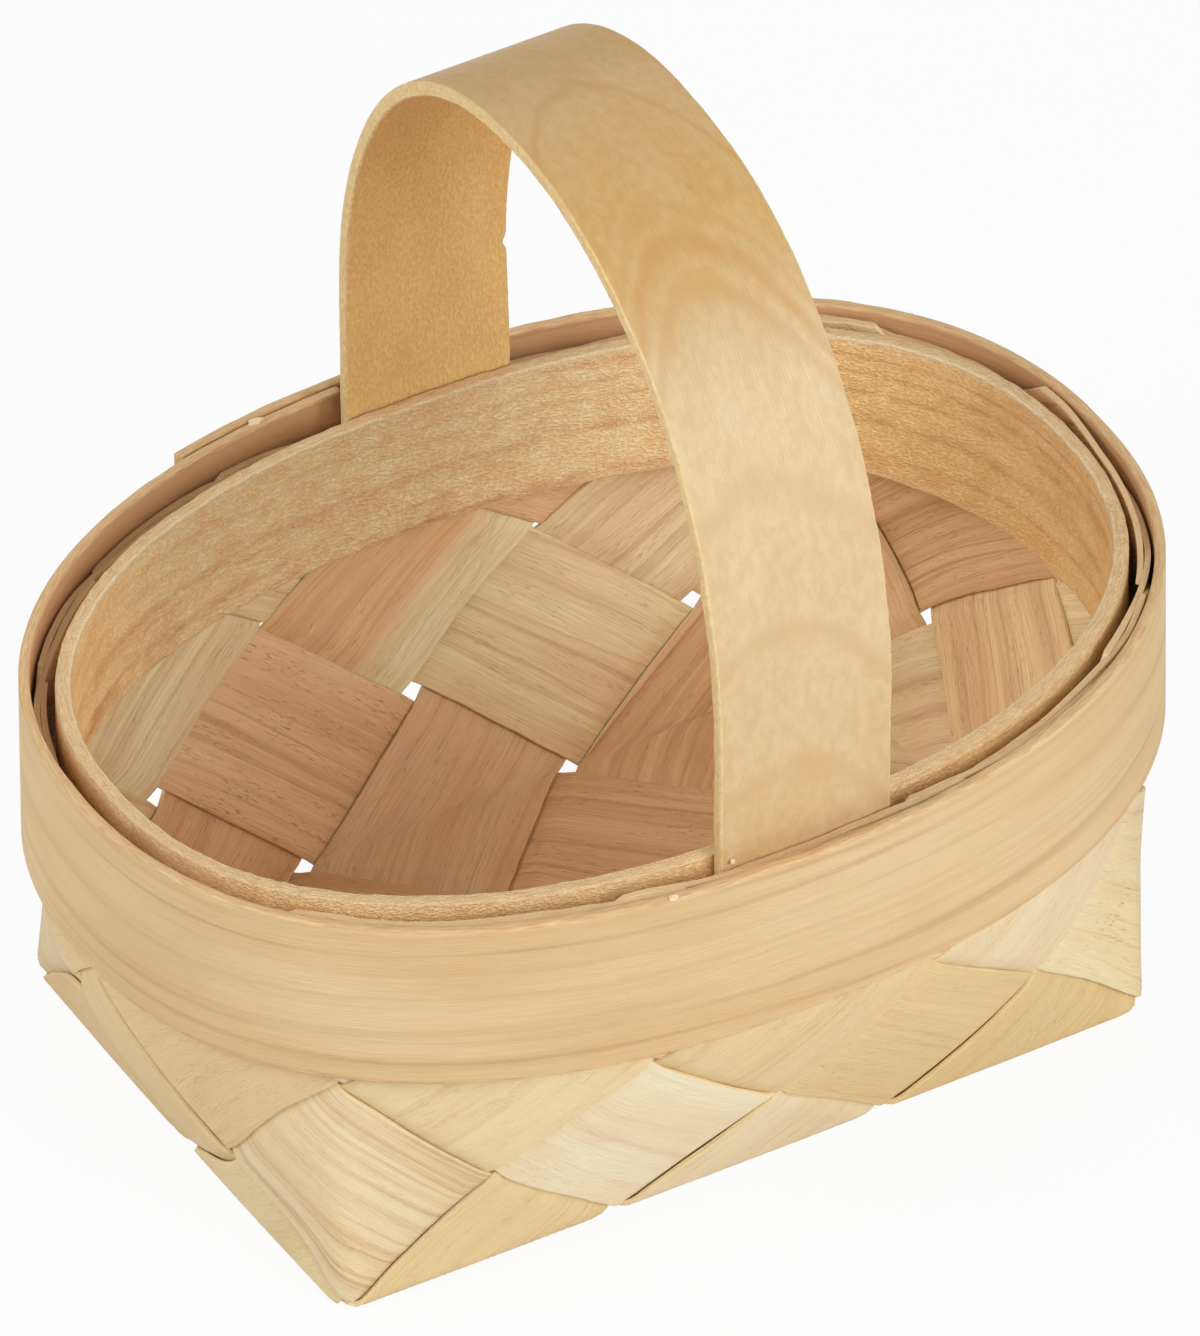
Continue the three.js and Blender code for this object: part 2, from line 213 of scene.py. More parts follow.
def sharp_sheet(x, y, sides):
    """Middle of the plaited sheet, folded up sharply over the edges that a splint crosses"""
    reached = np.clip((x - half_long) * unit / right_slip_reach + 1, 0, 1)
    slip = eased(reached) * end_share(y) * right_slip
    flat = base_centre + np.stack([x * unit, y * unit + slip], -1)
    point = np.concatenate([flat, np.full(x.shape + (1,), plait_middle)], -1)
    for side in sides:
        over, place = (measure(x, y) for measure in edges[side])
        point = np.where(over[..., None] > 0, wall_point(place, np.maximum(over, 0)), point)
    return point


def folded_sheet(x, y, sides):
    """The sheet with its folds rounded, as the mean of the sharp one close round each place"""
    turns = np.linspace(0, 2 * math.pi, fold_samples, endpoint=False)
    near = [(0.0, 0.0)]
    for reach in (0.5, 1):
        near += [(reach * math.cos(turn), reach * math.sin(turn)) for turn in turns]
    radius = fold_radius / unit
    return sum(sharp_sheet(x + radius * dx, y + radius * dy, sides) for dx, dy in near) / len(near)


def over_under(along, reach):
    """1 on the crossing in the middle, -1 on its neighbours and so on, turning in the slots between
    over that reach in cells on both sides"""
    cell = np.round(along)
    turn = np.clip((np.abs(along - cell) - 0.5 + reach) / (2 * reach), 0, 1)
    return (1 - 2 * eased(turn)) * np.where(cell % 2 == 0, 1, -1)


def wander(places, spacing, seed):
    """A smooth random course between -1 and 1, which turns about once in every spacing"""
    count = 256
    values = np.random.RandomState(seed).uniform(-1, 1, count)
    step = np.asarray(places) / spacing + count / 4
    whole = np.floor(step).astype(int)
    ease = eased(step - whole)
    return values[whole % count] * (1 - ease) + values[(whole + 1) % count] * ease


def waves(places, seed, *courses):
    """Such courses added up. Each has a size, a spacing and a number that is added to the seed."""
    return sum(size * wander(places, spacing, seed + more) for size, spacing, more in courses)


def trim_depth(point, right_depth):
    """How far below the hoops' top a splint's ends were cut off or have slipped down"""
    direction = np.degrees(np.arctan2(point[..., 1] - rim_centre[1], point[..., 0] - rim_centre[0]))
    depth = np.zeros(direction.shape)
    for middle, reach, deepest in (*low_ends, (*right_low_end, right_depth)):
        away = np.abs(np.mod(direction - middle + 180, 360) - 180) / reach
        depth += deepest * np.cos(0.5 * math.pi * np.clip(away, 0, 1)) ** 2
    return depth


def strip_section(width, thickness, corner, steps):
    """A flat strip cut across, as places across it and out of its middle: along one face and back"""
    flat = width / 2 - corner
    inner = np.linspace(-flat + corner, flat - corner, steps)
    face = [(place, thickness / 2) for place in (-flat, *inner, flat)]
    bends = [(corner * math.cos(turn), corner * math.sin(turn)) for turn in np.radians([60, 30, 0])]
    right = [(flat + x, thickness / 2 - corner + z) for x, z in bends]
    left = [(-x, z) for x, z in reversed(right)]
    outer = left + face + right
    inner = [(x, -z) for x, z in reversed(outer)]
    return np.array(outer + inner).T


def add_piece(name, mesh, material):
    """A new object of that mesh and material"""
    mesh.materials.append(material)
    piece = bpy.data.objects.new(name, mesh)
    bpy.context.scene.collection.objects.link(piece)
    return piece


def strip_object(name, rings, grain, edge, outer, wood):
    """Closed strip through rings of points in mm, each ring going out along one face and back
    along the other. grain holds each point's place along, across and through the wood in mm,
    edge is 1 on the sawn or cut edges and 2 on cut ends, and outer is 1 on the face that looks out."""
    count, size = rings.shape[:2]
    ring = np.arange(size)
    faces = []
    for i in range(count - 1):
        a = i * size + ring
        b = i * size + (ring + 1) % size
        faces += np.stack([a, b, b + size, a + size], -1).tolist()
    long_faces = len(faces)
    for start in (0, (count - 1) * size):
        for j in range(1, size // 2):
            faces.append([start + j - 1, start + j, start + size - 1 - j, start + size - j])
    mesh = bpy.data.meshes.new(name)
    mesh.from_pydata((rings.reshape(-1, 3) / mm_per_metre).tolist(), [], faces)
    smooth = np.arange(len(faces)) < long_faces
    mesh.polygons.foreach_set("use_smooth", smooth)
    work = bmesh.new()
    work.from_mesh(mesh)
    bmesh.ops.recalc_face_normals(work, faces=work.faces)
    work.to_mesh(mesh)
    work.free()
    mesh.attributes.new("grain", "FLOAT_VECTOR", "POINT").data.foreach_set("vector", grain.reshape(-1))
    for key, values in (("edge", edge), ("outer", outer)):
        mesh.attributes.new(key, "FLOAT", "POINT").data.foreach_set("value", values.reshape(-1))
    return add_piece(name, mesh, wood)


class Tone:
    """A value or colour that varies over a surface. Sums on it add Math nodes to its material."""

    def __init__(self, tree, socket=None):
        self.tree = tree
        self.socket = socket

    def node(self, kind, settings=None, sockets=None, out=0):
        """Adds any other node: its settings first, then the values or links of its sockets"""
        made = self.tree.nodes.new("ShaderNode" + kind)
        for key, value in (settings or {}).items():
            setattr(made, key, value)
        for key, value in (sockets or {}).items():
            if isinstance(value, Tone):
                self.tree.links.new(value.socket, made.inputs[key])
            else:
                made.inputs[key].default_value = value
        return Tone(self.tree, made.outputs[out] if made.outputs else None)

    def math(self, operation, *values):
        return self.node("Math", {"operation": operation}, dict(enumerate(values)))

    def __add__(self, other):
        return self.math("ADD", self, other)

    def __radd__(self, other):
        return self.math("ADD", other, self)

    def __sub__(self, other):
        return self.math("SUBTRACT", self, other)

    def __rsub__(self, other):
        return self.math("SUBTRACT", other, self)

    def __mul__(self, other):
        return self.math("MULTIPLY", self, other)

    def __rmul__(self, other):
        return self.math("MULTIPLY", other, self)

    def __pow__(self, other):
        return self.math("POWER", self, other)

    def part(self, axis):
        """One of the three numbers of a place"""
        return self.node("SeparateXYZ", None, {0: self}, axis)

    def stretched(self, along, across, through):
        """Coordinates for a pattern whose features are that many mm long, wide and deep"""
        size = (1 / along, 1 / across, 1 / through)
        return self.node("VectorMath", {"operation": "MULTIPLY"}, {0: self, 1: size})

    def moved(self, amount):
        return self.node("VectorMath", {"operation": "ADD"}, {0: self, 1: amount})

    def swayed(self, amount, length, width):
        """The place moved across the grain, so that a pattern on it sways by that many mm"""
        sway = (self.stretched(length, width, width).noise(1) - 0.5) * (2 * amount)
        return self.moved(self.node("CombineXYZ", None, {"Y": sway}))

    def noise(self, detail=2.0, roughness=0.5):
        sockets = {"Vector": self, "Scale": 1.0, "Detail": detail, "Roughness": roughness}
        return self.node("TexNoise", None, sockets)

    def lines(self, count, thin):
        """Fine lines on the contours of a pattern, that many between its lows and its highs"""
        angle = self * (2 * math.pi * count)
        return (self.math("SINE", angle) * 0.5 + 0.5) ** thin

    def between(self, low, high):
        """0 below low, 1 above high and a smooth slope between them"""
        limits = {"Value": self, "From Min": low, "From Max": high}
        return self.node("MapRange", {"interpolation_type": "SMOOTHSTEP"}, limits)

    def near(self, place, reach):
        """1 at a place, falling smoothly to 0 at its reach on both sides"""
        return 1 - self.math("ABSOLUTE", self - place).between(0, reach)

    def mixed(self, colour, other, blend="MIX"):
        """Two colours mixed by this value"""
        settings = {"data_type": "RGBA", "blend_type": blend, "clamp_factor": True}
        return self.node("Mix", settings, {0: self, 6: colour, 7: other}, 2)


def paint(code):
    """A colour as it looks on screen, written as six hex digits, for a socket"""
    channels = [int(code[i:i + 2], 16) / 255 for i in (0, 2, 4)]
    return (*(c / 12.92 if c <= 0.04045 else ((c + 0.055) / 1.055) ** 2.4 for c in channels), 1.0)


def new_material(name):
    """A new material and a start for its patterns"""
    material = bpy.data.materials.new(name)
    material.use_nodes = True
    return material, Tone(material.node_tree)


def wood_parts(name):
    """A new bare-wood material, the place in its grain, its cut edges and its outer face"""
    material, start = new_material(name)
    grain = start.node("Attribute", {"attribute_name": "grain"}, None, "Vector")
    edge = start.node("Attribute", {"attribute_name": "edge"}, None, "Fac")
    outer = start.node("Attribute", {"attribute_name": "outer"}, None, "Fac")
    return material, grain, edge, outer


def finish_wood(material, colour, roughness, relief, depth):
    """Gives the wood its colour, its roughness and a relief of that many mm"""
    shader = material.node_tree.nodes["Principled BSDF"]
    heights = {"Height": relief, "Distance": depth / mm_per_metre, "Strength": 1.0}
    bump = relief.node("Bump", None, heights)
    for socket, value in (("Base Color", colour), ("Roughness", roughness), ("Normal", bump)):
        value.tree.links.new(value.socket, shader.inputs[socket])
    shader.inputs["Specular IOR Level"].default_value = wood_gloss
    return material


def splint_wood(name, plain, inner, streaky, torn, base_darkening, sapwood, seed):
    """Sliced splint: plain and inner are its colours between the growth rings outside and inside,
    streaky is how strong those show, torn how much of its grain the knife has torn up and
    browned how much darker and browner its inner face is painted where it lies over the base.
    inner is painted lighter than plain, as painted light that makes up for the dim light inside
    the basket. sapwood is 1 where one side of the inner face is paler toward its far end. The inner
    face has many short open pores."""
    material, grain, edge, outer = wood_parts(name)
    place = grain.moved((0, 0, wood_apart * seed))
    swayed = place.swayed(3.5, 60, 15)
    feather = place.stretched(16, 0.35, 0.5).noise(3, 0.6)
    bands = (swayed.stretched(230, 4.4, 9).noise(3, 0.6) + feather * 0.12).between(0.48, 0.7)
    streaks = (swayed.stretched(150, 1.3, 6).noise(3, 0.65) + feather * 0.14).between(0.58, 0.72)
    rings = swayed.stretched(420, 14, 20).noise(1).lines(7, 5) * feather.between(0.25, 0.6)
    fibres = place.stretched(7, 0.18, 0.3).noise(2, 0.6).between(0.3, 0.7)
    patches = place.stretched(24, 9, 12).noise(2)
    tears = place.stretched(2.0, 0.14, 0.3).noise(1).between(0.68, 0.8) * patches.between(0.46, 0.66)
    rows = place.stretched(13, 1.6, 9).noise(2).between(0.42, 0.62)
    pores = place.stretched(1.4, 0.13, 0.3).noise(1).between(0.6, 0.7) * rows
    cloud = patches.between(0.3, 0.7)
    face = outer.between(0.3, 0.7)
    fresh = (cloud * 0.4).mixed(paint(plain), paint("dcc08f"))
    floor = 1 - grain.math("ABSOLUTE", grain.part(0)).between(25, 60)
    # The inner face is painted lighter than the outer one: painted light for the dim inside.
    inner_face_colour = (cloud * 0.4).mixed(paint(inner), paint("e8b68a"))
    # Where the splint lies over the base, its inner face is painted darker and browner.
    inner_face_colour = (floor * base_darkening).mixed(inner_face_colour, paint("dea27a"))
    pale = (swayed.part(1) + feather * 4).between(3.5, 9.5) * grain.part(0).between(10, 35)
    inner_face_colour = (pale * sapwood).mixed(inner_face_colour, paint("fffcd0"))
    base = face.mixed(inner_face_colour, fresh)
    banded = (bands * (0.24 + 0.26 * streaky - face * 0.18)).mixed(base, paint("d0a173"))
    streaked = (streaks * (0.2 + 0.5 * streaky - face * 0.15)).mixed(banded, paint("be8e5e"))
    ringed = (rings * (0.05 + 0.25 * streaky)).mixed(streaked, paint("c4905c"))
    fibred = ((1 - fibres) * (0.26 - face * 0.19)).mixed(ringed, paint("c9977a"), "MULTIPLY")
    torn_up = (tears * (0.1 + 0.5 * torn)).mixed(fibred, paint("93633f"))
    pored = (pores * (1 - face) * (0.32 + 0.5 * torn)).mixed(torn_up, paint("a0643e"))
    sawn = (edge * 0.8).mixed(pored, paint("ebd6a6"))
    cut = edge.between(1.2, 1.8).mixed(sawn, paint("dfbb8c"))
    relief = fibres * 0.4 - tears * (0.3 + torn) - pores * 0.4
    return finish_wood(material, cut, 0.55 + fibres * 0.2, relief, 0.1)


# For each direction of the plait: what is added to its splints' numbers as seeds, the place on the
# sheet of a place along a band, both in cells, the sides of the base whose walls it climbs, whether
# places across it count up or down with the bands, and whether its middle crossing lies outside
families = {
    "forward": {
        "first_seed": 0,
        "place": lambda band, along: ((along + band) / 2, (along - band) / 2),
        "sides": lambda band: ("left" if band < -0.5 else "near", "far" if band < 0.5 else "right"),
        "across_sign": 1,
        "middle_is_outer": False,
    },
    "backward": {
        "first_seed": 10,
        "place": lambda band, along: ((band + along) / 2, (band - along) / 2),
        "sides": lambda band: ("left" if band < -0.5 else "far", "near" if band < 0.5 else "right"),
        "across_sign": -1,
        "middle_is_outer": True,
    },
}


def splint_ends(middle, across, right_depth, seed):
    """Where a splint's columns start and end, in cells from its middle"""
    reach = np.linspace(-splint_search, splint_search, splint_search_rows)
    sheet = middle(*np.broadcast_arrays(across[None, :] / splint_pitch, reach[:, None]))
    top = splint_top - end_room - trim_depth(sheet, right_depth) + waves(across, seed, cut_wave)
    above = sheet[..., 2] - top
    first = np.empty(len(across))
    last = np.empty(len(across))
    for j in range(len(across)):
        low = np.flatnonzero(above[:, j] < 0)[[0, -1]]
        first[j] = np.interp(0, -above[low[0] - 1:low[0] + 1, j], reach[low[0] - 1:low[0] + 1])
        last[j] = np.interp(0, above[low[1]:low[1] + 2, j], reach[low[1]:low[1] + 2])
    return first, last


def splint(family, number, plain, inner, streaky, torn, base_darkening, right_depth, sapwood=0):
    """One splint. right_depth is how far below the hoops' top it ends at the right end."""
    name = f"{family}_splint_{number}"
    shape = families[family]
    band = number - 1 - (cells_long + cells_short - 1) / 2
    seed = shape["first_seed"] + number
    sides = shape["sides"](band)
    outer_first = (round(band) % 2 == 0) == shape["middle_is_outer"]

    def middle(across, along):
        x, y = shape["place"](band + shape["across_sign"] * across, along)
        return folded_sheet(x, y, sides)

    width = splint_pitch - splint_gap
    across, out = strip_section(width, splint_thickness, splint_corner, splint_columns)
    columns = across / splint_pitch
    first, last = splint_ends(middle, across, right_depth, seed)
    rows = int(round((last - first).mean() * splint_pitch / splint_row_length))
    along = first + (last - first) * np.linspace(0, 1, rows + 1)[:, None]
    length = along * splint_pitch
    evenly = middle(np.broadcast_to(columns, along.shape), along)
    start = np.interp(evenly[..., 1], closing_start_sides, closing_start)
    closed = eased(np.clip((evenly[..., 2] - start) / closing_rise, 0, 1))
    waver = waves(length, seed, *side_waves) * np.sign(columns) / splint_pitch
    place = columns * (1 + closing * closed) + waver
    step = 0.01
    point = middle(place, along)
    over_length = middle(place, along + step) - middle(place, along - step)
    over_width = middle(place + step, along) - middle(place - step, along)
    normal = np.cross(over_length, over_width)
    normal /= np.linalg.norm(normal, axis=-1, keepdims=True)
    clamped = np.clip((point[..., 2] - hoop_bottom) / clamped_rise, 0, 1)
    layer = over_under(along, crossing_turn + (clamped_turn - crossing_turn) * clamped)
    layer *= (1 if outer_first else -1) * (1 - clamped_press * clamped)
    lifted = np.clip(point[..., 2] / crown_height, 0, 1)
    free = np.where(layer > 0, lifted, 1) * (1 - clamped)
    crown = splint_crown * np.cos(math.pi * columns) * np.cos(math.pi * (along - np.round(along)))
    warp = waves(length, seed, face_wave) * lifted
    rings = point + normal * (layer * (layer_height + crown * free) + warp + out)[..., None]
    depth = np.broadcast_to(out, along.shape)
    grain = np.stack([length, place * splint_pitch, depth], -1)
    on_edge = np.abs(across) > width / 2 - splint_corner * splint_sawn_share
    edge = np.broadcast_to(on_edge.astype(float), along.shape).copy()
    edge[[0, -1]] = 2
    outer = np.clip(0.5 + depth / splint_thickness, 0, 1)
    wood = splint_wood(name, plain, inner, streaky, torn, base_darkening, sapwood, seed)
    piece = strip_object(name + "_wood", rings, grain, edge, outer, wood)
    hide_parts(name)
    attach(piece, "root")


# Each splint's inner colour is painted lighter than its outer one, as painted light.
splint("forward", 1, "dfc594", "fadaa4", 0.2, 0.2, 0.3, 0, sapwood=1)
splint("forward", 2, "e3d1a4", "fff2c8", 0.2, 0.2, 0.5, 2.2)
splint("forward", 3, "e2d2ac", "f0cf9e", 0.95, 0.15, 0.3, 0)
splint("forward", 4, "e9ddbd", "fcdeae", 0.1, 0.1, 0.3, 0)
splint("forward", 5, "dfc490", "fce8b0", 0.25, 0.3, 0.3, 0)
splint("backward", 1, "dec796", "f8daaa", 0.3, 0.15, 0.3, 0)
splint("backward", 2, "e5d6b2", "fffad0", 0.15, 0.15, 0, 2.2)
splint("backward", 3, "dec58e", "fbe2b2", 0.3, 0.3, 0.3, 2.2)
splint("backward", 4, "e7d8ae", "f9daac", 0.4, 0.8, 0.3, 0)
splint("backward", 5, "e2ce9f", "fff4c4", 0.2, 0.05, 0, 0)

# Outer hoop: a thin band of the same wood, sawn to an even width and bent round the outside of
# the splints' ends. Its two ends lap on the far side, where they are glued.
outer_hoop_corner = 0.3
outer_hoop_top_room = 0.25  # under the rim's height, for its uneven edge
outer_hoop_low_wave = (0.15, 40, 1)  # unevenness of its lower edge and of its upper one
outer_hoop_top_waves = ((0.15, 30, 2), (0.07, 3, 3))
outer_hoop_rings = 621
outer_hoop_wood_place = 700.0  # in the wood's pattern
lap_inner_end = -5.7  # where its ends lie on the far side, left of the rim's middle
lap_outer_end = -27.0
lap_run = 16.0  # over which the outer end climbs onto the inner one
hoop_columns = 15
hoop_sawn_share = 1.01  # of both hoops' rounded corners, which shows as sawn edge
rim_seed = 100  # for the unevenness of the hoops and the handle


def outer_hoop_wood():
    """Smooth pale wood with a few thin brown growth lines, worn pale along its upper edge. Its inner
    face, in the gap between the hoops, is painted pinkish brown as painted shade
    """
    material, grain, edge, outer = wood_parts("outer_hoop")
    place = grain.moved((0, 0, outer_hoop_wood_place))
    swayed = place.swayed(3, 90, 22)
    feather = place.stretched(25, 0.4, 0.6).noise(3, 0.6)
    lines = swayed.stretched(500, 12, 20).noise(1).lines(6, 12)
    lines = lines * place.stretched(60, 3, 9).noise(2).between(0.38, 0.62) * feather.between(0.2, 0.55)
    bands = (swayed.stretched(200, 2.4, 9).noise(2, 0.6) + feather * 0.12).between(0.5, 0.72)
    fibres = place.stretched(6, 0.2, 0.3).noise(2, 0.6).between(0.3, 0.7)
    cloud = place.stretched(28, 8, 12).noise(3).between(0.3, 0.7)
    specks = place.stretched(0.7, 0.3, 0.4).noise(1).between(0.79, 0.84)
    base = (cloud * 0.6).mixed(paint("dcc092"), paint("d0ad77"))
    banded = (bands * 0.28).mixed(base, paint("c69a64"))
    lined = (lines * 0.42).mixed(banded, paint("ad8153"))
    fibred = ((1 - fibres) * 0.12).mixed(lined, paint("c2935f"), "MULTIPLY")
    specked = (specks * 0.7).mixed(fibred, paint("a06b38"))
    upper = place.part(1).between(rim_height - 1.3, rim_height - 0.5)
    rub = place.stretched(9, 1.5, 4).noise(3).between(0.35, 0.6) * upper
    worn = (rub * 0.5).mixed(specked, paint("ecd9b0"))
    # Painted shade: the inner face, which looks into the gap between the hoops, is painted darker.
    inside = ((1 - outer.between(0.3, 0.7)) * 0.7).mixed(worn, paint("c8966f"))
    saw = place.stretched(2.4, 0.4, 0.16).noise(2)
    cut = (edge * 0.75).mixed(inside, saw.between(0.3, 0.7).mixed(paint("c99a68"), paint("e0c08c")))
    return finish_wood(material, cut, 0.5 + fibres * 0.2, fibres * 0.4 - lines * 0.2, 0.08)


def hoop(name, oval, fractions, stand_off, bottom, top, thickness, corner, wood):
    """A band bent to an oval. stand_off, bottom and top are given at each fraction of the walk."""
    height = float(np.mean(top - bottom))
    across, out = strip_section(height, thickness, corner, hoop_columns)
    level = across / height + 0.5
    middle = oval.at(fractions)
    outward = oval.outward(fractions)
    plan = middle[:, None] + outward[:, None] * (stand_off[:, None] + out)[..., None]
    z = bottom[:, None] + (top - bottom)[:, None] * level
    rings = np.concatenate([on_rim(plan), z[..., None]], -1)
    walked = np.broadcast_to((fractions * oval.length)[:, None], z.shape)
    depth = np.broadcast_to(out, z.shape)
    grain = np.stack([walked, z, depth], -1)
    on_edge = np.abs(across) > height / 2 - corner * hoop_sawn_share
    edge = np.broadcast_to(on_edge.astype(float), z.shape)
    outer = np.clip(0.5 + depth / thickness, 0, 1)
    piece = strip_object(name + "_band", rings, grain, edge, outer, wood)
    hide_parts(name)
    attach(piece, "root")


outer_stand_off = plait_middle + splint_spacing + outer_hoop_thickness / 2
outer_start = plait_oval.fraction_at_far(lap_inner_end)
outer_end = 1 + plait_oval.fraction_at_far(lap_outer_end)
outer_walk = np.linspace(outer_start, outer_end, outer_hoop_rings)
climb_end = 1 + outer_start - outer_hoop_thickness / plait_oval.length
climb_start = 1 + outer_start - lap_run / plait_oval.length
climb = eased(np.clip((outer_walk - climb_start) / (climb_end - climb_start), 0, 1))
outer_mm = outer_walk * plait_oval.length
hoop(
    "outer_hoop",
    plait_oval,
    outer_walk,
    outer_stand_off + climb * (outer_hoop_thickness + splint_spacing),
    hoop_bottom + waves(outer_mm, rim_seed, outer_hoop_low_wave),
    rim_height - outer_hoop_top_room + waves(outer_mm, rim_seed, *outer_hoop_top_waves),
    outer_hoop_thickness,
    outer_hoop_corner,
    outer_hoop_wood(),
)

# Inner hoop: a thicker and lower band inside the splints' ends and the handle's legs, butted
# under the near leg. Its face is rough from the saw, and its upper edge is frayed.
inner_hoop_height = 19.5
inner_hoop_height_right = 22.0
inner_hoop_widening = 20.0  # how far in from the right end the band starts to widen
inner_hoop_thickness = 1.8
inner_hoop_corner = 0.3
inner_hoop_end_room = 0.5  # between it and the splints at the basket's ends
inner_hoop_butt = 0.3  # gap between its own two ends
inner_hoop_top_room = 0.25  # for its uneven edges, at the top and below
inner_hoop_low_room = 0.2
inner_hoop_face_wave = (0.05, 1.3, 6)
inner_hoop_low_wave = (0.2, 30, 9)
inner_hoop_top_waves = ((0.15, 25, 4), (0.09, 1.2, 5))
inner_hoop_rings = 901
inner_hoop_wood_place = 800.0  # in the wood's pattern
handle_thickness = 1.85  # of the legs, which it clamps

inner_hoop_top = mm_per_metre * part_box("inner_hoop")[1].z
leg_inset = plait_middle + splint_spacing + handle_thickness / 2
leg_oval = Oval(plait_oval.half_x - leg_inset, plait_oval.half_y - leg_inset)
inner_oval = Oval(
    plait_oval.half_x - plait_middle - inner_hoop_end_room - inner_hoop_thickness / 2,
    leg_oval.half_y - handle_thickness / 2 - splint_spacing - inner_hoop_thickness / 2,
)


def inner_hoop_wood():
    """Orange tan wood, finely furred and mottled, with reddish streaks low at the left. It is
    painted paler from the right end onto the far side, as painted light where more light falls
    inside. Along it, places are in mm from the middle of the near side, by way of the right."""
    material, grain, edge, outer = wood_parts("inner_hoop")
    place = grain.moved((0, 0, inner_hoop_wood_place))
    swayed = place.swayed(3, 70, 20)
    fur = place.stretched(0.5, 0.3, 0.3).noise(2, 0.7).between(0.34, 0.66)
    curl = place.stretched(4, 1.8, 3).noise(3, 0.6)
    bands = (swayed.stretched(260, 2.6, 9).noise(2, 0.6) + (curl - 0.5) * 0.35).between(0.48, 0.64)
    lines = swayed.stretched(420, 10, 20).noise(1).lines(7, 5) * curl.between(0.3, 0.6)
    mottle = place.stretched(5, 3, 6).noise(3, 0.65).between(0.36, 0.66)
    low = 1 - place.part(1).between(inner_hoop_top - 18, inner_hoop_top - 5)
    along = place.part(0)
    left = along.between(140, 175)
    # Painted light: paler from the right end onto the far side, where more light falls inside.
    pale = along.between(120, 150) * (1 - along.between(205, 235))
    fresh = (pale * 0.8).mixed(paint("ffe0a4"), paint("fff2c0"))
    base = (mottle * 0.42).mixed(fresh, paint("ecba78"))
    banded = (bands * (0.05 + low * left * 0.55)).mixed(base, paint("cf7e46"))
    lined = (lines * (0.4 - left * 0.25)).mixed(banded, paint("c98f5a"))
    furred = ((1 - fur) * 0.36).mixed(lined, paint("d79c6a"), "MULTIPLY")
    upper = place.part(1).between(inner_hoop_top - 1.7, inner_hoop_top - 0.5)
    frayed = (upper * fur * 0.8).mixed(furred, paint("f6e4bc"))
    saw = place.stretched(1.8, 0.3, 0.14).noise(3, 0.6).between(0.3, 0.7)
    sawn = saw.mixed(paint("d8ac7c"), paint("f0d2a0"))
    rim = grain.part(2).near(0.15 - inner_hoop_thickness / 2, 0.3)
    top = (rim * 0.7).mixed(sawn, paint("f6e6c0"))
    cut = (edge * 0.85).mixed(frayed, top)
    return finish_wood(material, cut, 0.6 + fur * 0.3, fur + curl * 0.6, 0.12)


butt = inner_hoop_butt / 2 / inner_oval.length
inner_walk = np.linspace(butt, 1 - butt, inner_hoop_rings)
inner_mm = inner_walk * inner_oval.length
from_right = inner_oval.half_x - inner_oval.at(inner_walk)[:, 0]
inner_widened = eased(1 - np.clip(from_right / inner_hoop_widening, 0, 1))
inner_height = inner_hoop_height + (inner_hoop_height_right - inner_hoop_height) * inner_widened
inner_bottom = inner_hoop_top - inner_height + inner_hoop_low_room
hoop(
    "inner_hoop",
    inner_oval,
    inner_walk,
    waves(inner_mm, rim_seed, inner_hoop_face_wave),
    inner_bottom + waves(inner_mm, rim_seed, inner_hoop_low_wave),
    inner_hoop_top - inner_hoop_top_room + waves(inner_mm, rim_seed, *inner_hoop_top_waves),
    inner_hoop_thickness,
    inner_hoop_corner,
    inner_hoop_wood(),
)

# Handle: a flat strap sawn and sanded smooth, steamed and bent to a bow. Its legs reach down
# between the splints and the inner hoop, where they are glued and clamped.
handle_width_near = 22.7
handle_width_far = 21.5
handle_shoulder = 69.0  # height where the straight legs end and the bow begins
handle_round = 2.17  # power of the bow's outline, which would be 2 for an ellipse
handle_shift = 2.6  # right of the rim's middle
handle_skew = 0.9  # further right on the far side and less on the near one
handle_flatten = 24.0  # above the rim, over which the legs' hollow backs turn flat
handle_corner = 0.35
handle_sawn_share = 0.9  # of its rounded corner
handle_side_waves = ((0.07, 6, 7), (0.03, 1.1, 8))  # unevenness of its two edges
handle_side_power = 8  # how closely it keeps to them
handle_bow_hollow = 0.12  # how strongly the growth rings on its face arch, per mm
handle_leg_hollow = 0.05  # the same low on the near leg
handle_bow_slant = -0.35  # how far they lean to one side, per mm across
ring_arches = (  # place along the handle in mm from its near foot, half the width, and strength
    (123, 2.4, 0.9),
    (101.5, 2.4, 0.5),
    (95.8, 3.2, 1.0),
    (89.8, 2.8, 0.75),
    (66.5, 4, 0.4),
    (48, 2.8, 0.65),
    (28.5, 3, 0.55),
)
knot_place = (102.2, 3.7)  # along the handle and across it
knot_size = (1.1, 0.8)
nick_place = 193.8  # along its right edge
nick_width = 0.8
nick_depth = 0.5
handle_leg_steps = 60
handle_bow_steps = 361
handle_rings = 560
handle_columns = 21

handle_low, handle_high = (mm_per_metre * np.array(corner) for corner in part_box("handle"))


